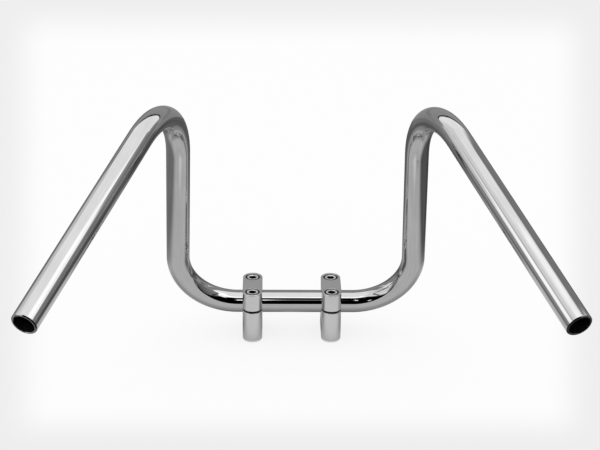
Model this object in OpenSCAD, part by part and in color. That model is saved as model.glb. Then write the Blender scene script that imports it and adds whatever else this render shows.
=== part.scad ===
// Motorcycle handlebar: one bent tube held in two riser clamps by four cap screws.
// The origin lies midway between the risers' feet, on the plane they stand on.
// X runs across the bar, Y away from the rider, Z up along the risers.

/* [Tube] */
// Outside diameter of the bar's tube
tube_d = 25.4; // [22:0.1:32]
// Wall of the tube
tube_wall = 2.4; // [1.5:0.1:4]
// How much a bend draws the wall in, on its outside and its bore
bend_draw = 0.02; // [0.01:0.01:0.1]
// Chamfer round the outside of each open end
mouth_chamfer = 1; // [0.2:0.1:1]
// Broken edge of the bore in each open end
mouth_break = 0.3; // [0.1:0.1:0.4]

/* [Bar shape] */
// Half of the bar's width between the corners where its centre turns up
low_corner_x = 133; // [128:1:180]
// Half of the bar's width between the corners where the uprights end
top_corner_x = 122.5; // [100:0.5:180]
// How far the uprights lean back to the rider
top_corner_back = 86; // [40:1:120]
// Height of the upper corners over the centre bar
top_corner_rise = 296; // [230:1:360]
// Half of the bar's width at the middle of its open ends
grip_end_x = 243.7; // [225:0.1:300]
// How far the open ends reach back to the rider
grip_end_back = 383; // [330:1:430]
// Height of the open ends over the centre bar
grip_end_rise = 169; // [120:1:230]
// Middle radius of the two lower bends
low_bend_r = 66; // [50:1:71]
// Middle radius of the two upper bends
top_bend_r = 84.5; // [55:0.5:100]
// How far the bar sits to the right of the risers' middle
bar_shift = 3.8; // [-8:0.1:8]

/* [Risers and caps] */
// Distance between the middles of the two risers
riser_spacing = 88.9; // [70:0.1:98]
// Width of the risers and caps
clamp_w = 22.2; // [20:0.1:28]
// Height of the bar's middle over the risers' feet
bar_height = 37.6; // [34:0.1:60]
// Height of the caps' tops over the bar's middle
cap_rise = 21.3; // [19:0.1:32]
// Gap between riser and cap on each side of the bar
split_gap = 2.6; // [1:0.1:5]
// Radial clearance between the saddles and the bar
saddle_gap = 0.03; // [0.01:0.01:0.2]
// Rounded edge of the feet and of the caps' tops
edge_r = 0.8; // [0.2:0.1:2]
// Broken edge at the split and where the bar leaves the saddles
edge_break = 0.4; // [0.1:0.1:1]

/* [Cap screws] */
// Distance between the front and the rear screw
screw_spacing = 38.1; // [37.6:0.1:50]
// Thread diameter of the cap screws
screw_d = 9.525; // [6:0.005:9.6]
// Diameter of the screws' heads
head_d = 14.3; // [12:0.1:15]
// Height of the screws' heads
head_h = 9.5; // [6:0.1:9.8]
// Rounded edge at the top of the heads
head_edge = 0.7; // [0.2:0.1:1]
// Width across the flats of the hex sockets
socket_af = 7.94; // [5:0.01:9]
// Depth of the hex sockets
socket_depth = 5; // [3:0.1:6]
// Length of the screws under the head
screw_len = 31.5; // [26:0.5:34]
// Diameter of the counterbores round the heads
counterbore_d = 16; // [15.2:0.1:17]
// How far the heads lie under the caps' tops
head_sink = 0.4; // [0.1:0.1:1]
// Broken edge round the counterbores
counterbore_break = 0.5; // [0.2:0.1:0.8]
// Radial clearance of the screws in the caps
screw_gap = 0.35; // [0.1:0.05:0.4]
// Radial clearance between the screws and their threaded holes
thread_gap = 0.05; // [0.02:0.01:0.2]
// Depth of the threaded holes past the screws' ends
thread_spare = 3; // [1:0.5:4]

/* [Foot bolt holes] */
// Inside diameter of the threaded hole in each foot
foot_hole_d = 10.72; // [8:0.01:12]
// Depth of the threaded hole in each foot
foot_hole_depth = 19; // [12:0.5:20]

/* [Hidden] */
$fn = 96;

tube_r = tube_d / 2;
bore_r = tube_r - tube_wall;
// A bend's ends reach this far into the straight walls that they join
bend_lap = 0.05;
saddle_r = tube_r + saddle_gap;
clamp_r = clamp_w / 2;
cap_top = bar_height + cap_rise;
riser_top = bar_height - split_gap / 2;
cap_bottom = bar_height + split_gap / 2;
head_seat = cap_top - head_sink - head_h;
screw_end = head_seat - screw_len;
cut_spare = 1;

// Corners of the bar's middle line on the right-hand side, from its centre to its open end
start = [0, 0, 0];
low_corner = [low_corner_x, 0, 0];
top_corner = [top_corner_x, -top_corner_back, top_corner_rise];
grip_end = [grip_end_x, -grip_end_back, grip_end_rise];

function unit(v) = v / norm(v);
// Angle by which the line a, b, c turns at b
function turn(a, b, c) = acos(unit(b - a) * unit(c - b));
// Length that a bend of radius r takes off each of the lines that meet at b
function tangent(a, b, c, r) = r * tan(turn(a, b, c) / 2);

low_cut = tangent(start, low_corner, top_corner, low_bend_r);
top_cut = tangent(low_corner, top_corner, grip_end, top_bend_r);
upright_dir = unit(top_corner - low_corner);
grip_dir = unit(grip_end - top_corner);

// Places its children with their X, Y and Z along the unit vectors x, y and z from the point p
module place(p, x, y, z) {
    multmatrix([
        [x[0], y[0], z[0], p[0]],
        [x[1], y[1], z[1], p[1]],
        [x[2], y[2], z[2], p[2]]
    ]) children();
}

// Straight tube from the point a to the point b
module straight(a, b) {
    along = unit(b - a);
    side = unit(cross(abs(along[1]) < 0.9 ? [0, 1, 0] : [1, 0, 0], along));
    place(a, side, cross(along, side), along)
        difference() {
            cylinder(r = tube_r, h = norm(b - a));
            translate([0, 0, -cut_spare])
                cylinder(r = bore_r, h = norm(b - a) + 2 * cut_spare);
        }
}

// Bent tube of middle radius r that turns the line a, b into the line b, c
module bend(a, b, c, r) {
    angle = turn(a, b, c);
    into = unit(b - a);
    inward = unit(unit(c - b) - into * (unit(c - b) * into));
    lap = asin(bend_lap / r);
    place(b - into * tangent(a, b, c, r) + inward * r, -inward, into, cross(into, inward))
        rotate([0, 0, -lap])
            rotate_extrude(angle = angle + 2 * lap)
                translate([r, 0])
                    difference() {
                        circle(r = tube_r - bend_draw);
                        circle(r = bore_r + bend_draw);
                    }
}

// Cuts the chamfer and the bore's broken edge of an open end that looks along +Z at z = 0
module mouth_cut() {
    translate([0, 0, -mouth_break])
        cylinder(r1 = bore_r, r2 = bore_r + mouth_break + cut_spare, h = mouth_break + cut_spare);
    translate([0, 0, -mouth_chamfer])
        difference() {
            cylinder(r = tube_r + cut_spare, h = mouth_chamfer + cut_spare);
            cylinder(r1 = tube_r, r2 = tube_r - mouth_chamfer - cut_spare, h = mouth_chamfer + cut_spare);
        }
}

// Straight grip with its open end finished
module grip() {
    side = unit(cross([0, 1, 0], grip_dir));
    difference() {
        straight(top_corner + grip_dir * top_cut, grip_end);
        place(grip_end, side, cross(grip_dir, side), grip_dir) mouth_cut();
    }
}

// Right-hand half of the tube past the centre bar
module bar_side() {
    bend(start, low_corner, top_corner, low_bend_r);
    straight(low_corner + upright_dir * low_cut, top_corner - upright_dir * top_cut);
    bend(low_corner, top_corner, grip_end, top_bend_r);
    grip();
}

module handlebar() {
    color("silver")
        translate([bar_shift, 0, bar_height])
            union() {
                straight([low_cut - low_corner_x, 0, 0], [low_corner_x - low_cut, 0, 0]);
                bar_side();
                mirror([1, 0, 0]) bar_side();
            }
}

// Half of a block's section from x = 0, with edges rounded by low_r below and top_r above
module half_section(z0, z1, low_r, top_r) {
    translate([0, z0 + low_r]) square([clamp_r, z1 - z0 - low_r - top_r]);
    for (end = [[z0 + low_r, low_r, -1], [z1 - top_r, top_r, 1]])
        translate([0, end[0]])
            scale([1, end[2]]) {
                square([clamp_r - end[1], end[1]]);
                intersection() {
                    translate([clamp_r - end[1], 0]) circle(r = end[1]);
                    translate([clamp_r - end[1], 0]) square(end[1]);
                }
            }
}

// Block with straight sides and half-round ends at the screws, from z0 up to z1
module block(z0, z1, low_r, top_r) {
    rotate([90, 0, 0])
        linear_extrude(screw_spacing, center = true) {
            half_section(z0, z1, low_r, top_r);
            mirror([1, 0]) half_section(z0, z1, low_r, top_r);
        }
    for (side = [-1, 1])
        translate([0, side * screw_spacing / 2, 0])
            rotate([0, 0, side > 0 ? 0 : 180])
                rotate_extrude(angle = 180) half_section(z0, z1, low_r, top_r);
}

// Bore of the saddle along X, with its edges broken where the bar leaves it
module saddle_cut() {
    translate([0, 0, bar_height])
        rotate([0, 90, 0]) {
            cylinder(r = saddle_r, h = clamp_w + 2 * cut_spare, center = true);
            for (side = [-1, 1])
                scale([1, 1, side])
                    translate([0, 0, clamp_r - edge_break])
                        cylinder(r1 = saddle_r, r2 = saddle_r + edge_break + cut_spare,
                                 h = edge_break + cut_spare);
        }
}

module at_screws() {
    for (side = [-1, 1]) translate([0, side * screw_spacing / 2, 0]) children();
}

// Lower half of a clamp: saddle on top, two threaded holes, one threaded hole in the foot
module riser() {
    hole_bottom = screw_end - thread_spare;
    difference() {
        block(0, riser_top, edge_r, edge_break);
        saddle_cut();
        at_screws()
            translate([0, 0, hole_bottom])
                cylinder(r = screw_d / 2 + thread_gap, h = riser_top - hole_bottom + cut_spare);
        translate([0, 0, -cut_spare])
            cylinder(d = foot_hole_d, h = foot_hole_depth + cut_spare);
    }
}

// Upper half of a clamp: saddle below, two counterbored holes from its flat top
module cap() {
    difference() {
        block(cap_bottom, cap_top, edge_break, edge_r);
        saddle_cut();
        at_screws() {
            translate([0, 0, cap_bottom - cut_spare])
                cylinder(r = screw_d / 2 + screw_gap, h = cap_rise + 2 * cut_spare);
            translate([0, 0, head_seat])
                cylinder(d = counterbore_d, h = head_h + head_sink + cut_spare);
            translate([0, 0, cap_top - counterbore_break])
                cylinder(r1 = counterbore_d / 2, r2 = counterbore_d / 2 + counterbore_break + cut_spare,
                         h = counterbore_break + cut_spare);
        }
    }
}

// Socket head cap screw whose head rests on z = 0, with its axis along Z
module cap_screw() {
    difference() {
        union() {
            cylinder(d = head_d, h = head_h - head_edge);
            translate([0, 0, head_h - head_edge])
                cylinder(d1 = head_d, d2 = head_d - 2 * head_edge, h = head_edge);
            translate([0, 0, -screw_len + head_edge])
                cylinder(d = screw_d, h = screw_len - head_edge);
            translate([0, 0, -screw_len])
                cylinder(d1 = screw_d - 2 * head_edge, d2 = screw_d, h = head_edge);
        }
        translate([0, 0, head_h - socket_depth])
            cylinder(d = socket_af / cos(30), h = socket_depth + cut_spare, $fn = 6);
    }
}

// Puts a riser, cap or screw in place: side is -1 left or 1 right, row is -1 front or 1 rear
module on_clamp(side, row = 0, height = 0) {
    translate([side * riser_spacing / 2, row * screw_spacing / 2, height]) children();
}

module riser_left() { color("silver") on_clamp(-1) riser(); }
module riser_right() { color("silver") on_clamp(1) riser(); }
module cap_left() { color("silver") on_clamp(-1) cap(); }
module cap_right() { color("silver") on_clamp(1) cap(); }
module screw_left_front() { color("dimgray") on_clamp(-1, -1, head_seat) cap_screw(); }
module screw_left_rear() { color("dimgray") on_clamp(-1, 1, head_seat) cap_screw(); }
module screw_right_front() { color("dimgray") on_clamp(1, -1, head_seat) cap_screw(); }
module screw_right_rear() { color("dimgray") on_clamp(1, 1, head_seat) cap_screw(); }

handlebar();
riser_left();
riser_right();
cap_left();
cap_right();
screw_left_front();
screw_left_rear();
screw_right_front();
screw_right_rear();
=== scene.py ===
# %% [markdown]
# # A chrome motorcycle handlebar
#
# This lesson dresses the construction model of a tall, narrow handlebar: one bent steel
# tube held by two riser clamps, each with a cap and two cap screws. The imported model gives
# every piece its true place and size, so no piece is placed by eye. What is left to make
# is what the eye sees: surfaces smooth enough for a mirror finish, crisp edges, the
# plating itself, and a studio whose softboxes and dark flags give chrome its bands.

import bmesh
import bpy
import numpy as np
from mathutils import Matrix


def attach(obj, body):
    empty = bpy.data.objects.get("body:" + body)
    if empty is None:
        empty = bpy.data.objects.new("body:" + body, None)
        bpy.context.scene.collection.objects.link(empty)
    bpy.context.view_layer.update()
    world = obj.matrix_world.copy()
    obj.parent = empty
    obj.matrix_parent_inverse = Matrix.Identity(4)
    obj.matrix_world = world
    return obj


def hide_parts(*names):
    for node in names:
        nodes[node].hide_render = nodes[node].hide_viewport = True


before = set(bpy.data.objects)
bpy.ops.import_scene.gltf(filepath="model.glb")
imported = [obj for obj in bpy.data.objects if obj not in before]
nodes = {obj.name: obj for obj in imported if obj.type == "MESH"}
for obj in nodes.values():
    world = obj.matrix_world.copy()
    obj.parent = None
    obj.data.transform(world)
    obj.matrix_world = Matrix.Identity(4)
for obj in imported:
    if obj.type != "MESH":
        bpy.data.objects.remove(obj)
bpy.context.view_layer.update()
print("nodes:", ", ".join(sorted(nodes)))

# %% [markdown]
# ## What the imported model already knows
#
# A few sizes are needed again below, such as where the screws stand. They could be typed
# in, but then a change of the construction model would leave them behind. So they are read
# off the boxes round its pieces, and rounded to a tenth of a micrometre.

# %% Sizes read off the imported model


def box_of(node_name):
    """Lowest and highest corner of a construction piece, over all its points."""
    points = np.array([vertex.co for vertex in nodes[node_name].data.vertices])
    return points.min(axis=0).round(7), points.max(axis=0).round(7)


def middle_of(node_name):
    """The point half way between the corners of a piece's box."""
    low, high = box_of(node_name)
    return ((low + high) / 2).round(7)


BAR_LOW, BAR_HIGH = box_of("handlebar")
SCREW_LOW, SCREW_HIGH = box_of("screw_right_rear")
SCREW_AXIS = middle_of("screw_right_rear")[:2]
print("the bar reaches from", BAR_LOW, "to", BAR_HIGH)
print("the screws stand", SCREW_AXIS, "aside from the middle")

# %% [markdown]
# ## The camera
#
# The photograph looks slightly down on the bar from the rider's side through a long lens.
# A camera could be placed by hand, but it is easier to keep right when it is worked out
# from what a photographer would say: which point it looks at, from how far, how high it
# looks down, and the lens. The roll is what the photographer's tripod was out of level.

# %% Place the camera
LOOK_AT = np.array([0.0084, 0.0, 0.1323])
LOOK_DISTANCE = 1.7744
LOOK_DOWN = np.radians(24.0)
LOOK_ASIDE = np.radians(-1.2)
TRIPOD_ROLL = np.radians(0.7)
SENSOR_WIDTH_MM = 36.0
LENS_MM = 95.5
VIEW_END = 50.0


def camera_axes(aside, down, roll):
    """Right, up and forward of a camera that first looks along +Y, turns about Z by the
    angle aside, tips down, and then rolls about its own view line."""
    forward = np.array([-np.sin(aside) * np.cos(down), np.cos(aside) * np.cos(down), -np.sin(down)])
    level_right = np.array([np.cos(aside), np.sin(aside), 0.0])
    level_up = np.cross(level_right, forward)
    right = np.cos(roll) * level_right + np.sin(roll) * level_up
    return right, np.cross(right, forward), forward


right, up, forward = camera_axes(LOOK_ASIDE, LOOK_DOWN, TRIPOD_ROLL)
camera_data = bpy.data.cameras.new("studio_camera")
camera_data.sensor_width = SENSOR_WIDTH_MM
camera_data.lens = LENS_MM
camera_data.clip_end = VIEW_END
camera = bpy.data.objects.new("studio_camera", camera_data)
place = np.eye(4)
place[:3, 0], place[:3, 1], place[:3, 2] = right, up, -forward
place[:3, 3] = LOOK_AT - LOOK_DISTANCE * forward
camera.matrix_world = Matrix(place.tolist())
bpy.context.scene.collection.objects.link(camera)
bpy.context.scene.camera = camera
bpy.context.scene.view_settings.view_transform = "Standard"
print("camera at", [round(float(v), 3) for v in place[:3, 3]])

# %% [markdown]
# ## One helper that turns a grid of points into a mesh
#
# Every new piece here is a surface with two parameters: one runs along the piece, the
# other round it. On paper that is a formula, and in the computer a grid of points. Mirror
# finishes show the smallest error in a surface's direction, so the tube's points also get
# the exact normal that their formula gives, instead of one averaged from flat facets.

# %% From a grid of points to a mesh


def grid_mesh(name, points, normals=None, close_rows=False, close_columns=True, slots=None):
    """Joins a grid of points (rows, columns, 3) with four-cornered faces.

    Each point is joined to its neighbours in the next row and the next column. A closed
    direction also joins the last to the first. slots gives one material number a row."""
    rows, columns = points.shape[:2]
    index = np.arange(rows * columns).reshape(rows, columns)
    down = np.roll(index, -1, axis=0)
    across = np.roll(index, -1, axis=1)
    both = np.roll(down, -1, axis=1)
    faces = np.stack([index, across, both, down], axis=-1)
    if not close_rows:
        faces = faces[:-1]
    if not close_columns:
        faces = faces[:, :-1]
    slot_of_face = None
    if slots is not None:
        slot_of_face = np.repeat(np.asarray(slots)[: faces.shape[0]], faces.shape[1])
    faces = faces.reshape(-1, 4)
    mesh = bpy.data.meshes.new(name)
    mesh.from_pydata(points.reshape(-1, 3), [], faces.tolist())
    mesh.polygons.foreach_set("use_smooth", np.ones(len(faces), bool))
    if slot_of_face is not None:
        mesh.polygons.foreach_set("material_index", slot_of_face.astype(np.int32))
    if normals is not None:
        mesh.normals_split_custom_set_from_vertices(normals.reshape(-1, 3).tolist())
    mesh.update()
    return mesh


def add_piece(name, mesh, materials=()):
    """Links a mesh to the scene as an object at the origin, with its materials."""
    piece = bpy.data.objects.new(name, mesh)
    bpy.context.scene.collection.objects.link(piece)
    for material in materials:
        mesh.materials.append(material)
    return piece


def smooth_step(low, high, x):
    """Rises from 0 at low to 1 at high, level at both ends."""
    t = np.clip((x - low) / (high - low), 0, 1)
    return t * t * (3 - 2 * t)


def ring_angles(count):
    """Angles of count points evenly spaced round a circle."""
    return np.arange(count) * 2 * np.pi / count


# %% [markdown]
# ## A profile with rounded corners
#
# Turned and chamfered parts have no perfectly sharp edges: each edge is broken by a
# fraction of a millimetre, and that sliver is what catches the light. A Bevel modifier can
# do this, but here the outline is rounded before it becomes a surface, so the normals of
# every arc stay exact.

# %% Round the corners of an outline


def rounded_outline(corners, radii, steps=5):
    """Points and outward normals along a flat line whose corners are replaced by arcs.

    At a corner the arc of radius r touches both sides at the distance r tan(turn / 2), and
    its normal turns evenly from one side's normal to the other's. The outside lies on the
    left of the line's direction."""
    corners = np.asarray(corners, float)
    points, normals = [], []
    sides = np.diff(corners, axis=0)
    sides /= np.linalg.norm(sides, axis=1)[:, None]
    outs = np.stack([-sides[:, 1], sides[:, 0]], axis=1)
    points.append(corners[:1])
    normals.append(outs[:1])
    for corner, r, side, side_out, next_side in zip(corners[1:-1], radii, sides, outs, sides[1:]):
        cross = side[0] * next_side[1] - side[1] * next_side[0]
        turn = np.arctan2(cross, side @ next_side)
        start = corner - side * r * np.tan(abs(turn) / 2)
        centre = start + np.sign(turn) * side_out * r
        angle = np.arctan2(side_out[1], side_out[0]) + np.linspace(0, turn, steps)
        out = np.stack([np.cos(angle), np.sin(angle)], axis=1)
        points.append(centre - np.sign(turn) * out * r)
        normals.append(out)
    points.append(corners[-1:])
    normals.append(outs[-1:])
    return np.vstack(points), np.vstack(normals)


# %% [markdown]
# ## Plating: what makes chrome look like chrome
#
# Chromium reflects about half of the light at every colour, so its own colour is a
# neutral mid grey and everything else that is seen in it is the studio. Up close it is
# not perfect: the polished steel under it rolls gently, buffing leaves hair-fine lines,
# drawing the tube leaves long faint streaks, and handling leaves duller patches. These are
# one shader group, because the tube, the clamps and the screws share them at different
# strengths.

# %% Node group for plated surfaces
PLATING_INPUTS = {"Streak amount": 0.1, "Roll size": 60.0, "Hair size": 900.0, "Hair amount": 0.02,
                  "Low roughness": 0.03, "High roughness": 0.08}
PATCH_SCALE = 22.0
STREAK_SCALE = 850.0
TONE_RANGE = (0.75, 1.25)
DULL_RANGE = (0.42, 0.70)


def node(tree, kind, at=(0, 0), **settings):
    """Adds a node and sets its properties, and its inputs where the key is an input's name."""
    made = tree.nodes.new(kind)
    made.location = at
    for key, value in settings.items():
        if hasattr(made, key):
            setattr(made, key, value)
        else:
            made.inputs[key.replace("_", " ")].default_value = value
    return made


def plating_group():
    """Four noises: rolls, hair lines and streaks give a height, streaks and patches a tone,
    and patches a roughness."""
    group = bpy.data.node_groups.new("plating", "ShaderNodeTree")
    for name in ("Vector", "Grain"):
        group.interface.new_socket(name=name, in_out="INPUT", socket_type="NodeSocketVector")
    for name, usual in PLATING_INPUTS.items():
        socket = group.interface.new_socket(name=name, in_out="INPUT", socket_type="NodeSocketFloat")
        socket.default_value = usual
    for name in ("Height", "Roughness", "Tone"):
        group.interface.new_socket(name=name, in_out="OUTPUT", socket_type="NodeSocketFloat")
    link = group.links.new
    given = node(group, "NodeGroupInput", (-900, 0))
    result = node(group, "NodeGroupOutput", (500, 0))
    roll = node(group, "ShaderNodeTexNoise", (-600, 250), Detail=1.0, Roughness=0.4)
    hair = node(group, "ShaderNodeTexNoise", (-600, 0), Detail=3.0, Roughness=0.6)
    patch = node(group, "ShaderNodeTexNoise", (-600, -250), Scale=PATCH_SCALE, Detail=4.0, Roughness=0.55)
    streak = node(group, "ShaderNodeTexNoise", (-600, -500), Scale=STREAK_SCALE, Detail=2.0, Roughness=0.6)
    for texture in (roll, hair, patch):
        link(given.outputs["Vector"], texture.inputs["Vector"])
    link(given.outputs["Grain"], streak.inputs["Vector"])
    link(given.outputs["Roll size"], roll.inputs["Scale"])
    link(given.outputs["Hair size"], hair.inputs["Scale"])
    hair_height = node(group, "ShaderNodeMath", (-350, 0), operation="MULTIPLY")
    link(hair.outputs["Fac"], hair_height.inputs[0])
    link(given.outputs["Hair amount"], hair_height.inputs[1])
    fine_height = node(group, "ShaderNodeMath", (-350, -500), operation="MULTIPLY_ADD")
    link(streak.outputs["Fac"], fine_height.inputs[0])
    link(given.outputs["Streak amount"], fine_height.inputs[1])
    link(hair_height.outputs[0], fine_height.inputs[2])
    height = node(group, "ShaderNodeMath", (-100, 150), operation="ADD")
    link(roll.outputs["Fac"], height.inputs[0])
    link(fine_height.outputs[0], height.inputs[1])
    both = node(group, "ShaderNodeMath", (-350, -350), operation="ADD")
    link(streak.outputs["Fac"], both.inputs[0])
    link(patch.outputs["Fac"], both.inputs[1])
    tone = node(group, "ShaderNodeMapRange", (-100, -400))
    tone.inputs["From Min"].default_value = TONE_RANGE[0]
    tone.inputs["From Max"].default_value = TONE_RANGE[1]
    link(both.outputs[0], tone.inputs["Value"])
    dull = node(group, "ShaderNodeMapRange", (-100, -150), interpolation_type="SMOOTHSTEP")
    dull.inputs["From Min"].default_value = DULL_RANGE[0]
    dull.inputs["From Max"].default_value = DULL_RANGE[1]
    link(patch.outputs["Fac"], dull.inputs["Value"])
    link(given.outputs["Low roughness"], dull.inputs["To Min"])
    link(given.outputs["High roughness"], dull.inputs["To Max"])
    link(height.outputs[0], result.inputs["Height"])
    link(dull.outputs["Result"], result.inputs["Roughness"])
    link(tone.outputs["Result"], result.inputs["Tone"])
    return group


PLATING = plating_group()
print("plating group:", len(PLATING.nodes), "nodes")

# %% [markdown]
# ## Chromium plate, from the group
#
# A plated piece is a metal with a mid-grey colour and a low roughness. Each could have its
# own nodes, but one function keeps them alike: it places the group, and only the greys,
# the roughness and the depth and size of the rolls differ. The tube is the darkest and the
# smoothest. The clamps are paler, and the flat tops of the screws are the palest and the
# least smooth. These greys are painted light: each is set so that its part comes out as
# bright as it should, the tube a little darker than chromium and the clamps a little paler,
# and the screw tops far paler than chromium, a painted highlight.

# %% Chrome for the bar, the clamps and the screws
DRAWN_STREAKS = 0.12
FAINT_STREAKS = 0.04


def chrome(name, dark, light, roll_depth, roll_size=60.0, rough=(0.03, 0.07), hair=0.02, grain=None):
    """Chromium plate: a neutral grey metal whose tone drifts between dark and light. grain
    names a stored vector that runs slowly along the metal's streaks and fast across them."""
    material = bpy.data.materials.new(name)
    material.use_nodes = True
    tree = material.node_tree
    shader = tree.nodes["Principled BSDF"]
    shader.inputs["Metallic"].default_value = 1.0
    where = node(tree, "ShaderNodeTexCoord", (-1000, 0))
    plate = node(tree, "ShaderNodeGroup", (-750, 0), node_tree=PLATING)
    plate.inputs["Roll size"].default_value = roll_size
    plate.inputs["Streak amount"].default_value = DRAWN_STREAKS if grain else FAINT_STREAKS
    plate.inputs["Hair amount"].default_value = hair
    plate.inputs["Low roughness"].default_value = rough[0]
    plate.inputs["High roughness"].default_value = rough[1]
    tone = node(tree, "ShaderNodeMix", (-400, 200), data_type="RGBA")
    tone.inputs["A"].default_value = (dark, dark, dark, 1.0)
    tone.inputs["B"].default_value = (light, light, light, 1.0)
    bump = node(tree, "ShaderNodeBump", (-400, -200), Strength=1.0, Distance=roll_depth)
    link = tree.links.new
    link(where.outputs["Object"], plate.inputs["Vector"])
    if grain:
        stored = node(tree, "ShaderNodeAttribute", (-1000, -250), attribute_name=grain)
        link(stored.outputs["Vector"], plate.inputs["Grain"])
    else:
        link(where.outputs["Object"], plate.inputs["Grain"])
    link(plate.outputs["Tone"], tone.inputs["Factor"])
    link(tone.outputs["Result"], shader.inputs["Base Color"])
    link(plate.outputs["Roughness"], shader.inputs["Roughness"])
    link(plate.outputs["Height"], bump.inputs["Height"])
    link(bump.outputs["Normal"], shader.inputs["Normal"])
    return material


bar_chrome = chrome("bar_chrome", dark=0.44, light=0.50, roll_depth=0.00001, grain="grain")
clamp_chrome = chrome("clamp_chrome", dark=0.57, light=0.63, roll_depth=0.000008, roll_size=150.0,
                      rough=(0.05, 0.1), hair=0.03)
# the screw tops' grey, far paler than chromium's own, is a painted highlight
screw_chrome = chrome("screw_chrome", dark=0.84, light=0.92, roll_depth=0.000008, roll_size=300.0,
                      rough=(0.15, 0.25), hair=0.05)
print("plated:", bar_chrome.name, clamp_chrome.name, screw_chrome.name)

# %% [markdown]
# ## Unplated steel with painted shade
#
# Plating hardly reaches into a bore or a socket, and little light comes back out of one.
# These places could be darkened by a mask in the chrome, but each face here is either
# inside or outside. So a second material is simpler: a dull steel whose nearly black
# colour is painted shade, which a fine noise makes a little uneven.

# %% Near-black steel for bores and recesses: painted shade
SCALE_SIZE = 180.0
SCALE_DEPTH = 0.0002


def unplated_steel_painted_shade(name, dark, light, rough):
    """Unplated steel, dull, whose nearly black colour is painted shade."""
    material = bpy.data.materials.new(name)
    material.use_nodes = True
    tree = material.node_tree
    shader = tree.nodes["Principled BSDF"]
    shader.inputs["Metallic"].default_value = 0.6
    shader.inputs["Roughness"].default_value = rough
    where = node(tree, "ShaderNodeTexCoord", (-800, 0))
    scale = node(tree, "ShaderNodeTexNoise", (-600, 0), Scale=SCALE_SIZE, Detail=6.0)
    tone = node(tree, "ShaderNodeMix", (-300, 100), data_type="RGBA")
    tone.inputs["A"].default_value = (dark, dark, dark, 1.0)
    tone.inputs["B"].default_value = (light, light, light, 1.0)
    bump = node(tree, "ShaderNodeBump", (-300, -200), Strength=0.4, Distance=SCALE_DEPTH)
    link = tree.links.new
    link(where.outputs["Object"], scale.inputs["Vector"])
    link(scale.outputs["Fac"], tone.inputs["Factor"])
    link(scale.outputs["Fac"], bump.inputs["Height"])
    link(tone.outputs["Result"], shader.inputs["Base Color"])
    link(bump.outputs["Normal"], shader.inputs["Normal"])
    return material


# near-black colours that paint the shade inside the tube's bore and in the recesses
bore_painted_shade = unplated_steel_painted_shade("bore_painted_shade", dark=0.008, light=0.02, rough=0.6)
recess_painted_shade = unplated_steel_painted_shade("recess_painted_shade", dark=0.01, light=0.03, rough=0.5)
print("materials:", len(bpy.data.materials))

# %% [markdown]
# ## The line of the tube
#
# A tube bender makes straight lengths joined by arcs. So the middle line is written the
# same way: six corners, and a radius at each of the four inner ones. At a corner the arc
# touches both straights at the distance r tan(turn / 2). Along an arc the cross-section
# only turns about the bend's own axis, so one rotation formula gives every ring its frame.

# %% The tube's middle line
TUBE_R = 0.0127
WALL = 0.0024
LOW_CORNER = np.array([0.133, 0.0, 0.0])
TOP_CORNER = np.array([0.1225, -0.086, 0.296])
GRIP_END = np.array([0.2437, -0.383, 0.169])
LOW_BEND_R = 0.066
TOP_BEND_R = 0.0845
BAR_CENTRE = np.array([middle_of("handlebar")[0], 0.0, BAR_LOW[2] + TUBE_R]).round(7)
MIRROR = np.array([-1.0, 1.0, 1.0])


class Run:
    """One straight or arc of the line: its start, the frame (side, other side, direction)
    that it starts with and its length, and for an arc also its centre and its axis."""

    def __init__(self, start, axes, length, centre=None, axis=None):
        self.start, self.axes, self.length = start, axes, length
        self.centre, self.axis = centre, axis


def unit(v):
    """v at length one."""
    return v / np.linalg.norm(v, axis=-1, keepdims=True)


def turned(vectors, axis, angles):
    """Each vector turned about a unit axis, once for every angle: its part along the axis
    stays, and the rest is its cosine share plus the sine share of axis cross vector."""
    c = np.cos(angles)[:, None, None]
    s = np.sin(angles)[:, None, None]
    along = (vectors @ axis)[None, :, None] * axis
    return vectors * c + np.cross(axis, vectors) * s + along * (1 - c)


def bent_line(corners, radii):
    """The runs of a line through the corners: a straight up to each bend, then an arc of
    its radius whose centre lies inward, square to the straight, and a last straight."""
    runs = []
    point = corners[0]
    direction = unit(corners[1] - corners[0])
    side = unit(np.cross(direction, [0.0, 1.0, 0.0]))
    axes = np.array([side, np.cross(direction, side), direction])
    for corner, following, r in zip(corners[1:-1], corners[2:], radii):
        after = unit(following - corner)
        turn = np.arccos(axes[2] @ after)
        cut = r * np.tan(turn / 2)
        runs.append(Run(point, axes, np.linalg.norm(corner - point) - cut))
        point = corner - axes[2] * cut
        axis = unit(np.cross(axes[2], after))
        inward = np.cross(axis, axes[2])
        runs.append(Run(point, axes, r * turn, point + inward * r, axis))
        axes = turned(axes, axis, np.array([turn]))[0]
        point = corner + axes[2] * cut
    runs.append(Run(point, axes, np.linalg.norm(corners[-1] - point)))
    return runs


right_side = np.array([LOW_CORNER, TOP_CORNER, GRIP_END])
corners = np.vstack([(right_side * MIRROR)[::-1], right_side]) + BAR_CENTRE
line = bent_line(corners, [TOP_BEND_R, LOW_BEND_R, LOW_BEND_R, TOP_BEND_R])
print("tube: %.3f m along its middle" % sum(run.length for run in line))

# %% [markdown]
# ## Any place on the line
#
# A sweep needs the middle line's point and frame at many distances. A curve object could
# give them, but its frames may twist where a line leaves its plane, as this one does on
# each side. So each distance is looked up in its run: on a straight it is a step along the
# direction, and on an arc a turn about the arc's axis.

# %% Points and frames along the line


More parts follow.
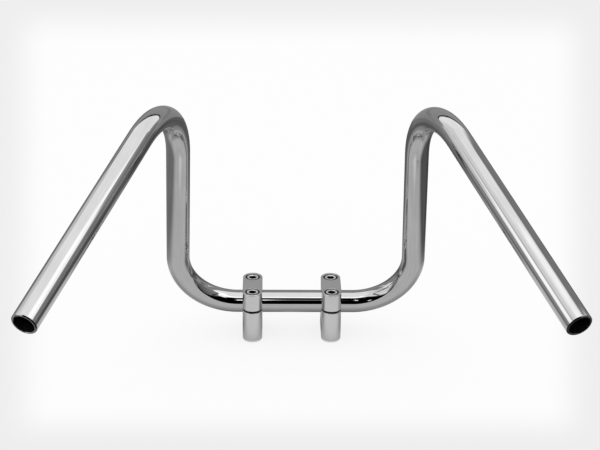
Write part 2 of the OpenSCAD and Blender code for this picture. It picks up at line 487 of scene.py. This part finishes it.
def on_line(runs, distances):
    """Points and frames at the given distances along the line, as whole arrays."""
    distances = np.asarray(distances, float)
    points = np.zeros((len(distances), 3))
    frames = np.zeros((len(distances), 3, 3))
    start = 0.0
    for number, run in enumerate(runs):
        last = number == len(runs) - 1
        here = (distances >= start) & ((distances < start + run.length) | last)
        if number == 0:
            here |= distances < start
        d = distances[here] - start
        if run.centre is None:
            points[here] = run.start + d[:, None] * run.axes[2]
            frames[here] = run.axes
        else:
            spoke = run.start - run.centre
            angles = d / np.linalg.norm(spoke)
            points[here] = run.centre + turned(spoke[None], run.axis, angles)[:, 0]
            frames[here] = turned(run.axes, run.axis, angles)
        start += run.length
    return points, frames


middle = on_line(line, [sum(run.length for run in line) / 2])[0][0]
print("the line's middle:", middle.round(4))

# %% [markdown]
# ## The tube's skin
#
# The tube is one closed surface: out along its outside, round the wall at one open mouth,
# back through the bore, and round the wall at the other mouth. Rings stand close in the
# bends and far apart on the straights. At each mouth the wall's section is drawn as a
# small rounded outline with a chamfer round the outside, because in the photograph that
# chamfer is a black band beside the thin bright line of the wall's flat end. The skin lies
# three hundredths of a millimetre in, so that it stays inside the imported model's box.

# %% Sweep the tube
SKIN_INSET = 0.00003
MOUTH_LENGTH = 0.004
MOUTH_CHAMFER = 0.001
MOUTH_BREAK = 0.0003
EDGE_ROUND = 0.0006
TINY_ROUND = 0.00008
BORE_MARGIN = 0.000001
AROUND = 120
BEND_STEP = np.radians(1.5)
STRAIGHT_STEP = 0.02
GRAIN_STRETCH = 0.04


def ring_places(runs):
    """Distances for the rings: every bend step on an arc, every straight step between."""
    places, start = [], 0.0
    for run in runs:
        step = STRAIGHT_STEP if run.centre is None else BEND_STEP * np.linalg.norm(run.start - run.centre)
        count = max(2, int(np.ceil(run.length / step)) + 1)
        places.append(start + np.linspace(0, run.length, count)[:-1])
        start += run.length
    return np.concatenate(places + [[start]])


def tube_surface(runs, radius, wall):
    """The closed wall of the tube. Its first parameter runs along the outside, over one
    mouth, back along the bore and over the other mouth, and its second round each ring: a
    point is the middle line's point plus its own radius times a spoke at its own angle."""
    bore = radius - wall
    total = sum(run.length for run in runs)
    rings = ring_places(runs)
    inner = rings[(rings > MOUTH_LENGTH) & (rings < total - MOUTH_LENGTH)]
    mouth, mouth_out = rounded_outline(
        [(-MOUTH_LENGTH, radius), (-MOUTH_CHAMFER, radius), (0, radius - MOUTH_CHAMFER),
         (0, bore + MOUTH_BREAK), (-MOUTH_BREAK, bore), (-MOUTH_LENGTH, bore)],
        [EDGE_ROUND, EDGE_ROUND, TINY_ROUND, TINY_ROUND])
    along = [inner, total + mouth[:, 0], inner[::-1], -mouth[::-1, 0]]
    across = [np.full(len(inner), radius), mouth[:, 1], np.full(len(inner), bore), mouth[::-1, 1]]
    level = np.zeros((len(inner), 2)) + [0.0, 1.0]
    outward = [level, mouth_out, -level, (mouth_out * [-1, 1])[::-1]]
    mouth_lining = mouth[:, 1] < bore + BORE_MARGIN
    lining = [np.zeros(len(inner)), mouth_lining, np.ones(len(inner)), mouth_lining[::-1]]
    along, across = np.concatenate(along), np.concatenate(across)
    outward, lining = np.vstack(outward), np.concatenate(lining)
    centres, frames = on_line(runs, along)
    turn = ring_angles(AROUND)
    spoke = np.cos(turn)[:, None] * frames[:, None, 0] + np.sin(turn)[:, None] * frames[:, None, 1]
    points = centres[:, None] + across[:, None, None] * spoke
    normals = outward[:, None, 1:] * spoke + outward[:, None, :1] * frames[:, None, 2]
    grain = np.stack([radius * np.cos(turn) + 0 * along[:, None], radius * np.sin(turn) + 0 * along[:, None],
                      along[:, None] * GRAIN_STRETCH + 0 * turn], axis=-1)
    return points, normals, lining, grain


points, normals, lining, grain = tube_surface(line, TUBE_R - SKIN_INSET, WALL - SKIN_INSET)
tube_mesh = grid_mesh("handlebar_tube", points, normals, close_rows=True, slots=lining)
tube_mesh.attributes.new("grain", "FLOAT_VECTOR", "POINT").data.foreach_set("vector", grain.ravel())
# the bore faces take slot 1, the near-black steel that paints the shade inside the tube
tube = add_piece("handlebar_tube", tube_mesh, [bar_chrome, bore_painted_shade])
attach(tube, "root")
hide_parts("handlebar")
print("tube:", len(tube_mesh.polygons) * 2, "triangles")

# %% [markdown]
# ## Risers and caps
#
# These are blocks with half-round ends, bored across for the tube. The construction model
# already has their true form, with rounded edges. It comes as loose triangles, which a
# mirror finish would show as facets. So each is copied, its corners are merged, and it is
# shaded smooth except where two faces meet at a real edge. The Weighted Normal modifier
# then lets large flat faces rule their corners, so that only the rounded edges bend light.

# %% Smooth copies of the clamp pieces
MERGE_DISTANCE = 0.000002
EDGE_ANGLE = np.radians(32)
HEAD_HEIGHT = 0.0095
SEAT_HEIGHT = round(SCREW_HIGH[2] - HEAD_HEIGHT, 7)
RECESS_R = 0.00805
RECESS_MARGIN = 0.0005


def weld(mesh, distance=MERGE_DISTANCE):
    """Merges points that lie closer together than the distance."""
    shape = bmesh.new()
    shape.from_mesh(mesh)
    bmesh.ops.remove_doubles(shape, verts=shape.verts, dist=distance)
    shape.to_mesh(mesh)
    shape.free()


def in_recess(mesh):
    """True for each face of a screw's counterbore: near a screw's axis and over its seat."""
    centres = np.array([face.center for face in mesh.polygons])
    aside = np.abs(np.abs(centres[:, :2]) - SCREW_AXIS)
    return (np.linalg.norm(aside, axis=1) < RECESS_R) & (centres[:, 2] > SEAT_HEIGHT - RECESS_MARGIN)


def smooth_copy(name, source, materials):
    """A copy of a construction node with merged corners, smooth up to the edge angle."""
    mesh = source.data.copy()
    mesh.name = name
    weld(mesh)
    mesh.materials.clear()
    # faces of the counterbores get slot 1, the near-black steel that paints their shade
    mesh.polygons.foreach_set("material_index", in_recess(mesh).astype(np.int32))
    mesh.polygons.foreach_set("use_smooth", np.ones(len(mesh.polygons), bool))
    mesh.set_sharp_from_angle(angle=EDGE_ANGLE)
    piece = add_piece(name, mesh, materials)
    weigh = piece.modifiers.new("weigh", "WEIGHTED_NORMAL")
    weigh.keep_sharp = True
    return piece


for node_name in ("riser_left", "riser_right", "cap_left", "cap_right"):
    piece = smooth_copy(node_name + "_plated", nodes[node_name], [clamp_chrome, recess_painted_shade])
    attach(piece, "root")
    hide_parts(node_name)
    print(piece.name, len(piece.data.polygons), "triangles")

# %% [markdown]
# ## Cap screws
#
# A socket head screw is turned, so it is one outline carried round an axis. Three things
# break the circle: the hexagonal socket, the knurl that lets fingers grip the head, and
# the thread. Each is a rule that changes the radius with the angle. A hexagon's side is
# at a / cos(angle from the side's middle), a knurl is a small zigzag round the head, and
# a thread is the same zigzag running up the shank as the angle turns. Only the flat top of
# the head gets the screw chrome, whose pale grey is a painted highlight. Its side, rim and
# socket get the near-black steel: in the socket and down in the counterbore that is painted
# shade, and the rim is dark as well.

# %% Screw sizes and outline
HEAD_R = round((SCREW_HIGH[0] - SCREW_LOW[0]) / 2, 7)
HEAD_EDGE = 0.0007
POLISH_R = 0.0063
HEAD_SIDE_START = 0.0006
HEAD_SIDE_ROWS = 8
RIM_ROWS = 7
RIM_FLATNESS = 0.9
SOCKET_HALF = 0.00397
SOCKET_DEPTH = 0.005
SOCKET_MIDDLE = 0.003
SOCKET_BREAK = 0.0002
SOCKET_FLOOR_BREAK = 0.0001
DRILL_POINT = 0.001
SHANK_R = 0.0047625
SHANK_LENGTH = round(SEAT_HEIGHT - SCREW_LOW[2], 7)
THREAD_PITCH = 0.0254 / 16
THREAD_DEPTH = 0.00085
THREAD_TOP = 0.0022
THREAD_FULL = 0.005
THREAD_VANISH = 0.002
THREAD_TIP = 0.0008
# rings of the neck and of the head's foot: out from the shank's or the head's radius, and height
NECK_STEPS = [(0, -0.0012), (0, -0.0004), (0.0002, -0.0001), (0.0004, 0)]
FOOT_STEPS = [(-0.0005, 0), (-0.0002, 0.0003)]
KNURL_DEPTH = 0.00012
KNURL_COUNT = 32
SCREW_AROUND = 96
ROWS_A_PITCH = 8
DULL_START = -0.001
ROUND, HEX, KNURL, THREAD = range(4)


def zigzag(turns):
    """Falls from 1 to 0 and climbs back to 1 over each whole turn."""
    return np.abs(2 * (turns % 1.0) - 1)


def screw_outline():
    """Radius, height and kind of every ring, from the shank's end up and into the socket,
    and the numbers of the first and last ring of the polished top."""
    low, top = -SHANK_LENGTH, HEAD_HEIGHT
    thread_length = SHANK_LENGTH - THREAD_TIP - THREAD_TOP
    thread_rows = int(round(thread_length / THREAD_PITCH * ROWS_A_PITCH))
    thread = np.linspace(low + THREAD_TIP, -THREAD_TOP, thread_rows)
    side = np.linspace(HEAD_SIDE_START, top - HEAD_EDGE, HEAD_SIDE_ROWS)
    rim = np.radians(np.linspace(0, 90, RIM_ROWS))
    rim_r = HEAD_R - HEAD_EDGE + HEAD_EDGE * np.cos(rim) * RIM_FLATNESS
    rim_z = top - HEAD_EDGE + HEAD_EDGE * np.sin(rim)
    socket_floor = top - SOCKET_DEPTH
    rings = [(0, low, ROUND), (SHANK_R - THREAD_DEPTH, low, ROUND)]
    rings += [(SHANK_R, z, THREAD) for z in thread]
    rings += [(SHANK_R + out, z, ROUND) for out, z in NECK_STEPS]
    rings += [(HEAD_R + out, z, ROUND) for out, z in FOOT_STEPS]
    rings += [(HEAD_R, z, KNURL) for z in side]
    rings += [(r, z, ROUND) for r, z in zip(rim_r, rim_z)]
    first = len(rings)
    rings += [(POLISH_R, top, ROUND), (SOCKET_HALF + SOCKET_BREAK, top, HEX),
              (SOCKET_HALF, top - SOCKET_BREAK, HEX), (SOCKET_HALF, top - SOCKET_MIDDLE, HEX),
              (SOCKET_HALF, socket_floor + SOCKET_FLOOR_BREAK, HEX),
              (SOCKET_HALF - SOCKET_FLOOR_BREAK, socket_floor, HEX), (0, socket_floor - DRILL_POINT, ROUND)]
    table = np.array(rings)
    return table[:, 0], table[:, 1], table[:, 2].astype(int), first, first + 2


radius, height, kind, first, last = screw_outline()
print("a screw's outline:", len(radius), "rings, polished from ring", first, "to", last)

# %% [markdown]
# ## Carrying the outline round
#
# The rules for hexagon, knurl and thread are applied to the whole grid of rings and angles
# at once. The thread's depth fades out at the shank's tip and under the head, as it does
# where a die starts and stops. One turn of thread could be repeated by modifiers instead,
# but then it would not run into the plain shank so simply.

# %% Four screws, each turned as it happened to stop
SCREW_ANGLE = np.radians(40)
SCREW_MERGE = 0.0000005
SCREW_TURNS = {"screw_left_front": 0.35, "screw_left_rear": 0.8, "screw_right_front": 0.1,
               "screw_right_rear": 0.55}


def screw_surface(outline, x, y, turn):
    """The screw at its place: thread and knurl take their zigzags off the outline's radius,
    and in the socket it is divided by the cosine of the angle from the side's middle."""
    radius, height, kind = (v[:, None] for v in outline)
    angle = ring_angles(SCREW_AROUND)[None]
    from_side = (angle + np.radians(30)) % np.radians(60) - np.radians(30)
    run_out = smooth_step(-SHANK_LENGTH, -SHANK_LENGTH + THREAD_PITCH, height)
    run_out = run_out * smooth_step(-THREAD_VANISH, -THREAD_FULL, height)
    cut = np.zeros_like(radius * angle)
    cut += (kind == THREAD) * THREAD_DEPTH * run_out * zigzag(height / THREAD_PITCH - angle / (2 * np.pi))
    cut += (kind == KNURL) * KNURL_DEPTH * zigzag(angle * KNURL_COUNT / (2 * np.pi))
    r = (radius - cut) / np.where(kind == HEX, np.cos(from_side), 1.0)
    return np.stack([x + r * np.cos(angle + turn), y + r * np.sin(angle + turn),
                     SEAT_HEIGHT + height + 0 * r], axis=-1)


# slot 0, chrome, for the top of the head and the shank; slot 1, the near-black steel, for the rest: in the
# socket and down in the counterbore its darkness is painted shade
rows = np.arange(len(radius))
dull = (height > DULL_START) & ((rows < first) | (rows >= last))
for node_name, turn in SCREW_TURNS.items():
    x, y = middle_of(node_name)[:2]
    points = screw_surface((radius, height, kind), x, y, turn)
    mesh = grid_mesh(node_name + "_threaded", points, slots=dull)
    weld(mesh, SCREW_MERGE)
    mesh.set_sharp_from_angle(angle=SCREW_ANGLE)
    piece = add_piece(node_name + "_threaded", mesh, [screw_chrome, recess_painted_shade])
    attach(piece, "root")
    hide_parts(node_name)
print("a screw:", len(mesh.polygons) * 2, "triangles")

# %% [markdown]
# ## The studio floor
#
# The floor is pale paper. A fifth of its tone is its own colour, which the room lights and
# the bar shades. The rest is a glow that only the camera and mirrors see, so that the paper
# reads as white and still throws little light up at the bar. The other way to a white
# backdrop, more lamps, would burn out the chrome. The paper is painted with one value a
# point: a bright pool round the bar, a little greyer further out, as the photograph's
# backdrop is. The pool widens away from the camera and leans to the right a little, so
# that its sides look upright from there.

# %% Paper and its pool of light
POOL_NEAR, POOL_FAR = -0.257, 1.367
POOL_MIDDLE, POOL_LEANS = 0.005, 0.0175
POOL_HALF, POOL_WIDENS = 0.300, 0.1725
POOL_FULL = 0.83
POOL_NEAR_FADE, POOL_FAR_FADE = 0.085, 0.32
POOL_TONE = 0.975
OUTER_TONE = 0.85
GLOW_SHARE = 0.80
FLOOR_HALF = 7.0
PAINTED_X = np.linspace(-0.8, 0.8, 107)
PAINTED_Y = np.linspace(-0.4, 1.6, 134)


def flat_grid(x, y, height):
    """Points over a rectangle, as rows along Y and columns along X, seen from above."""
    px, py = np.meshgrid(x, y)
    return np.stack([px, py, np.full_like(px, height)], axis=-1)


def point_value(mesh, name, values):
    """Stores one number a point under a name that a material can read."""
    layer = mesh.attributes.new(name, "FLOAT", "POINT")
    layer.data.foreach_set("value", np.asarray(values, np.float32).ravel())


def floor_material():
    """Matt paper of the painted tone. One share of the tone is its colour, and the rest is
    a glow that only rays from the camera, off mirrors and through glass see."""
    material = bpy.data.materials.new("floor_paper")
    material.use_nodes = True
    tree = material.node_tree
    link = tree.links.new
    shader = tree.nodes["Principled BSDF"]
    shader.inputs["Roughness"].default_value = 0.9
    shader.inputs["Specular IOR Level"].default_value = 0.0
    paint = node(tree, "ShaderNodeAttribute", (-900, 100), attribute_name="pale")
    paper = node(tree, "ShaderNodeMath", (-600, 100), operation="MULTIPLY")
    paper.inputs[1].default_value = 1.0 - GLOW_SHARE
    link(paint.outputs["Fac"], paper.inputs[0])
    link(paper.outputs[0], shader.inputs["Base Color"])
    path = node(tree, "ShaderNodeLightPath", (-900, -300))
    seen = path.outputs["Is Camera Ray"]
    for other in ("Is Glossy Ray", "Is Transmission Ray"):
        either = node(tree, "ShaderNodeMath", (-600, -300), operation="MAXIMUM")
        link(seen, either.inputs[0])
        link(path.outputs[other], either.inputs[1])
        seen = either.outputs[0]
    share = node(tree, "ShaderNodeMath", (-400, -200), operation="MULTIPLY")
    share.inputs[1].default_value = GLOW_SHARE
    link(seen, share.inputs[0])
    link(paint.outputs["Fac"], shader.inputs["Emission Color"])
    link(share.outputs[0], shader.inputs["Emission Strength"])
    return material


def pool_share(x, y):
    """1 in the pool, 0 outside: the product of one fade at the sides, one near, one far.

    The sides are measured from the pool's middle in shares of its half width, and both
    grow in step with the distance from the near end."""
    beyond = y - POOL_NEAR
    sides = np.abs(x - POOL_MIDDLE - POOL_LEANS * beyond) / (POOL_HALF + POOL_WIDENS * beyond)
    return (smooth_step(1.0, POOL_FULL, sides) * smooth_step(POOL_NEAR, POOL_NEAR + POOL_NEAR_FADE, y)
            * smooth_step(POOL_FAR, POOL_FAR - POOL_FAR_FADE, y))


floor_points = flat_grid(np.concatenate([[-FLOOR_HALF], PAINTED_X, [FLOOR_HALF]]),
                         np.concatenate([[-FLOOR_HALF], PAINTED_Y, [FLOOR_HALF]]), 0.0)
floor_mesh = grid_mesh("floor", floor_points, close_columns=False)
pool = pool_share(floor_points[..., 0], floor_points[..., 1])
point_value(floor_mesh, "pale", OUTER_TONE + (POOL_TONE - OUTER_TONE) * pool)
floor = add_piece("floor", floor_mesh, [floor_material()])
print("floor: full tone on %.0f%% of its points" % (100 * np.mean(pool > 0.99)))

# %% [markdown]
# ## The light in the room
#
# Metal needs little light of its own: what it mirrors does the work. So the room is an even
# white, and one large, weak lamp overhead only gives the light a direction. Mirrors don't
# see the lamp, because the dome of the next steps holds all that the chrome shows.

# %% White room and one overhead lamp
ROOM_TONE = 1.0
LAMP_SIZE = 2.4
LAMP_PLACE = (0.0, 0.1, 2.3)
LAMP_POWER = 5.0

world = bpy.data.worlds.new("room")
bpy.context.scene.world = world
world.use_nodes = True
world.node_tree.nodes["Background"].inputs["Color"].default_value = (ROOM_TONE,) * 3 + (1.0,)
world.node_tree.nodes["Background"].inputs["Strength"].default_value = 1.0

lamp_data = bpy.data.lights.new("overhead_lamp", "AREA")
lamp_data.shape = "SQUARE"
lamp_data.size = LAMP_SIZE
lamp_data.energy = LAMP_POWER
lamp = bpy.data.objects.new("overhead_lamp", lamp_data)
lamp.location = LAMP_PLACE
lamp.visible_glossy = False
bpy.context.scene.collection.objects.link(lamp)
print("lamp:", LAMP_POWER, "W at", LAMP_PLACE)

# %% [markdown]
# ## Softboxes and flags for the mirror
#
# Chrome has no look of its own: what shows is the room. A photographer hangs bright
# softboxes and black flags round it, just out of the picture, until the bands in the
# metal sit where they should. Here they are painted on a dome and on a sheet just above
# the floor, both seen by mirrors only. The sheet also carries a painted shadow under the
# bar and round the risers' feet, which the mirrors show in place of the floor's own. Each
# row below is one patch: where it starts and ends in both directions, its tone, and how
# wide its edges fade. Later rows lie over earlier ones, as cards hung nearer do.

# %% The patches of the dome and of the floor
# compass from +Y towards +X, from and to; height over the horizon, from and to; tone;
# fade of the sides; fade of top and bottom; bow, the angle aside at which the top has sunk to
# half its height, or 0 for a level top
DOME_PATCHES = [
    (-180, 180, -9, 91, 1.50, 0, 2, 0),
    (-136, -52, 7.5, 62, 1.25, 14, 5, 0),
    (-108, -81.5, 12, 34, 1.95, 5, 8, 0),
    (-112, -80, 33, 43, 0.90, 8, 4, 0),
    (-107, -98, 12, 40, 0.45, 4, 4, 0),
    (80, 112, 36, 68, 2.10, 8, 5, 0),
    (-75, 75, -9, 46.2, 0.00, 10, 1.5, 50),
    (-75, 75, -9, 40.8, 0.46, 10, 2, 50),
    (-75, 75, -9, 10, 0.22, 10, 16, 0),
    (-66, -40, -9, 24, 0.44, 2, 3, 0),
    (-130, -64, -9, 5.5, 0.48, 12, 5, 0),
    (50, 116, -9, 32, 0.48, 6, 3, 45),
    (66, 104, -9, 42.5, 0.48, 6, 4, 18),
    (58, 112, 11, 20, 0.30, 6, 5, 0),
    (58, 112, -9, 1, 0.16, 6, 5, 0),
    (96, 140, -9, 40, 0.26, 14, 9, 0),
    (96, 140, -9, 9, 0.17, 14, 9, 0),
    (100, 160, 45, 67, 2.30, 14, 4, 0),
    (138, 221, -9, 57, 0.00, 8, 3, 68),
    (140, 222, 58, 68, 2.20, 16, 3, 0),
    (176.5, 181.5, 31, 38, 0.40, 2, 3, 0),
    (180.25, 182.6, 30, 39, 2.20, 1, 4, 0),
    (182.0, 186.0, 29, 34, 2.60, 1, 1.5, 0),
    (196.0, 200.0, 5, 10, 2.40, 1, 1.5, 0),
]
# x from and to; y from and to; tone; fade of the sides; fade of front and back; no bow
FLOOR_PATCHES_WITH_PAINTED_SHADOW = [
    (-4.0, 4.0, -4.0, 4.0, 0.76, 0.10, 0.10, 0),
    (-4.0, 4.0, -0.14, 4.0, 0.82, 0.10, 0.06, 0),
    (-4.0, 4.0, -0.03, 4.0, 0.72, 0.10, 0.08, 0),
    # the next three rows are painted shadow: under the bar, and round each riser's foot
    (-0.20, 0.20, -0.03, 0.06, 0.48, 0.06, 0.04, 0),
    (-0.09, -0.01, -0.008, 0.03, 0.25, 0.03, 0.02, 0),
    (0.01, 0.09, -0.008, 0.03, 0.25, 0.03, 0.02, 0),
    (-4.0, 4.0, 0.10, 4.0, 0.38, 0.10, 0.08, 0),
    (-4.0, 4.0, 0.20, 4.0, 0.16, 0.10, 0.10, 0),
    (-4.0, -0.26, -0.30, 4.0, 0.27, 0.14, 0.10, 0),
    (-4.0, -1.10, -0.30, 4.0, 0.48, 0.80, 0.10, 0),
    (0.27, 4.0, -0.30, 4.0, 0.09, 0.14, 0.10, 0),
    (0.30, 4.0, -0.30, 0.10, 0.15, 0.10, 0.10, 0),
    (0.60, 4.0, -0.30, 4.0, 0.14, 0.20, 0.10, 0),
    (0.27, 4.0, 0.45, 4.0, 0.17, 0.14, 0.20, 0),
    (-4.0, 4.0, 1.20, 4.0, 0.18, 0.10, 1.00, 0),
    (-0.085, 0.095, -0.40, -0.19, 1.05, 0.04, 0.06, 0),
    (-0.60, -0.10, -4.0, -0.26, 0.32, 0.08, 0.04, 0),
    (-4.0, 4.0, -4.0, -0.42, 0.01, 0.10, 0.04, 0),
    (-0.14, 0.16, -4.0, -0.31, 0.01, 0.08, 0.04, 0),
    (0.10, 0.60, -4.0, -0.25, 0.05, 0.08, 0.05, 0),
]
print("stage:", len(DOME_PATCHES), "patches on the dome,", len(FLOOR_PATCHES_WITH_PAINTED_SHADOW), "on the floor")

# %% [markdown]
# ## Painting with numbers
#
# An image could hold these patches, but it would be one more file and would blur close up.
# Here every point of a sheet works out its own tone and how much it covers, and stores both
# as attributes. The material reads them back: where a sheet is covered it glows with the
# tone, and elsewhere it is clear, so that a mirror sees past it.

# %% Paint and hang a sheet
SHARP_FADE = 0.000001
LEAST_COVER = 0.0001


def band(values, low, high, fade):
    """1 between low and high and 0 outside. Each edge is a smooth step that is as wide as
    the fade and half way up at the edge."""
    inside = np.minimum(values - low, high - values) / max(fade, SHARP_FADE) + 0.5
    inside = np.clip(inside, 0, 1)
    return inside * inside * (3 - 2 * inside)


def paint(across, along, patches, turn=None):
    """Lays the patches over each other: each new one hides a share of what lies under.

    With turn given, the first direction goes round and comes back after that many degrees,
    and a patch's top sinks towards its sides as top / (1 + (distance / bow) cubed)."""
    tone = np.zeros(np.broadcast(across, along).shape)
    cover = np.zeros_like(tone)
    for left, right, bottom, top, new_tone, side_fade, end_fade, bow in patches:
        if turn is None:
            share = band(across, left, right, side_fade)
        else:
            middle = (left + right) / 2
            aside = (across - middle + turn / 2) % turn - turn / 2
            share = 1.0 if right - left >= turn else band(aside, left - middle, right - middle, side_fade)
            if bow:
                top = top / (1 + np.abs(aside / bow) ** 3)
        share = share * band(along, bottom, top, end_fade)
        tone = tone * (1 - share) + new_tone * share
        cover = cover * (1 - share) + share
    return tone, cover


def glow_material(name):
    """Light of the painted tone, clear where nothing is painted."""
    material = bpy.data.materials.new(name)
    material.use_nodes = True
    tree = material.node_tree
    tree.nodes.clear()
    tone = node(tree, "ShaderNodeAttribute", (-600, -100), attribute_name="tone")
    cover = node(tree, "ShaderNodeAttribute", (-600, 150), attribute_name="cover")
    glow = node(tree, "ShaderNodeEmission", (-300, -100))
    clear = node(tree, "ShaderNodeBsdfTransparent", (-300, 50))
    blend = node(tree, "ShaderNodeMixShader", (0, 0))
    out = node(tree, "ShaderNodeOutputMaterial", (200, 0))
    link = tree.links.new
    link(tone.outputs["Fac"], glow.inputs["Strength"])
    link(cover.outputs["Fac"], blend.inputs["Fac"])
    link(clear.outputs[0], blend.inputs[1])
    link(glow.outputs[0], blend.inputs[2])
    link(blend.outputs[0], out.inputs["Surface"])
    return material


def hang(name, points, tone, cover):
    """Makes a painted sheet that only mirrors see. The given tone is already multiplied by
    the cover, so it is divided by it again."""
    mesh = grid_mesh(name, points, close_columns=False)
    point_value(mesh, "tone", tone / np.maximum(cover, LEAST_COVER))
    point_value(mesh, "cover", cover)
    sheet = add_piece(name, mesh, [glow_material(name)])
    sheet.visible_camera = False
    sheet.visible_diffuse = False
    sheet.visible_shadow = False


# %% [markdown]
# ## The dome and the sheet on the floor
#
# The dome is a sphere that starts just below the horizon, with a point every degree round
# and every three quarters of a degree up. The sheet lies two millimetres over the floor.
# Its points stand close together near the risers and far apart at its edges, as a
# hyperbolic sine spaces them, because small marks show in the chrome only from nearby.

# %% Hang the dome and lay the sheet
DOME_RADIUS = 4.0
DOME_CENTRE = np.array([0.0, -0.1, 0.15])
DOME_START = -9
SHEET_HALF = 4.0
SHEET_HEIGHT = 0.002
SHEET_CROWDING = 3.2
SHEET_POINTS = 161

compass = np.linspace(-180, 180, 361)[None]
height = np.linspace(DOME_START, 90, 133)[:, None]
bearing, climb = np.radians(compass), np.radians(height)
dome_points = np.stack([np.cos(climb) * np.sin(bearing), np.cos(climb) * np.cos(bearing),
                        np.sin(climb) + 0 * bearing], axis=-1)
hang("dome", DOME_CENTRE + DOME_RADIUS * dome_points, *paint(compass, height, DOME_PATCHES, 360))

spread = np.linspace(-SHEET_CROWDING, SHEET_CROWDING, SHEET_POINTS)
places = np.sinh(spread) / np.sinh(SHEET_CROWDING) * SHEET_HALF
sheet_points = flat_grid(places, places, SHEET_HEIGHT)
hang("floor_sheet", sheet_points, *paint(sheet_points[..., 0], sheet_points[..., 1], FLOOR_PATCHES_WITH_PAINTED_SHADOW))
print("dome:", dome_points.shape[:2], "points, sheet:", sheet_points.shape[:2], "points")

# %% [markdown]
# ## Cards along the grips
#
# Some cards hang closer, because a patch on the dome is too far off to change one grip
# alone. One hangs beside each grip and gives its outer edge a tone of its own, dark on the
# right and pale on the left. A bright one hangs over the right grip and lights its top.

# %% Hang the grip cards
CARD_MARGIN = 0.02
CARD_END_FADE = 0.04
CARD_POINTS = 41
# side of the bar; where the card hangs, from the grip's start; half its width; its soft
# edge; tone; where it starts and how far it goes on past the grip's end
GRIP_CARDS = {
    "card_right": (1, (0.106, 0.127, 0.112), 0.128, 0.048, 0.33, -0.03, 0.04),
    "card_over": (1, (-0.02, 0.05, 0.30), 0.13, 0.08, 1.85, 0.10, 0.10),
    "card_left": (-1, (-0.25, 0.36, 0.27), 0.15, 0.08, 1.00, 0.05, 0.10),
}

run = line[-1]
for name, (side, offset, half_width, soft, tone, start, extra) in GRIP_CARDS.items():
    mirror = np.array([side, 1, 1])
    grip_start = (run.start - BAR_CENTRE) * mirror + BAR_CENTRE
    grip_axis = run.axes[2] * mirror
    end = run.length + extra
    offset = np.array(offset)
    along = np.linspace(start, end, CARD_POINTS)[:, None]
    across = np.linspace(-half_width, half_width, CARD_POINTS)[None]
    sheet = (grip_start + offset + along[..., None] * grip_axis
             + across[..., None] * unit(np.cross(offset, grip_axis)))
    cover = (band(along, start + CARD_MARGIN, end - CARD_MARGIN, CARD_END_FADE)
             * band(across, soft / 2 - half_width, half_width - soft / 2, soft))
    hang(name, sheet, tone * cover, cover)
print("grip cards:", ", ".join(GRIP_CARDS))

# %% [markdown]
# ## A curved card behind the uprights
#
# The last card is a piece of a cylinder that stands on no floor: it hangs behind the bar at
# the height of the upper bends. It turns the inside of the two lower bends from white to
# grey, and gives the crowns of the upper bends their mid tone.

# %% Hang the curved card
RING_R = 0.20
# compass from and to; height from and to in millimetres; tone; fades; no bow
RING_PATCHES = [
    (-62, 76, 225, 340, 0.40, 10, 40, 0),
    (-62, 76, 225, 285, 0.38, 10, 40, 0),
]

compass = np.linspace(-70, 86, 79)[None]
height = np.linspace(180, 380, 41)[:, None]
bearing = np.radians(compass)
ring = np.stack([RING_R * np.sin(bearing) + 0 * height, RING_R * np.cos(bearing) + 0 * height,
                 height / 1000 + 0 * bearing], axis=-1)
hang("card_ring", ring, *paint(compass, height, RING_PATCHES, 360))
print("curved card: %.0f to %.0f mm up" % (height.min(), height.max()))
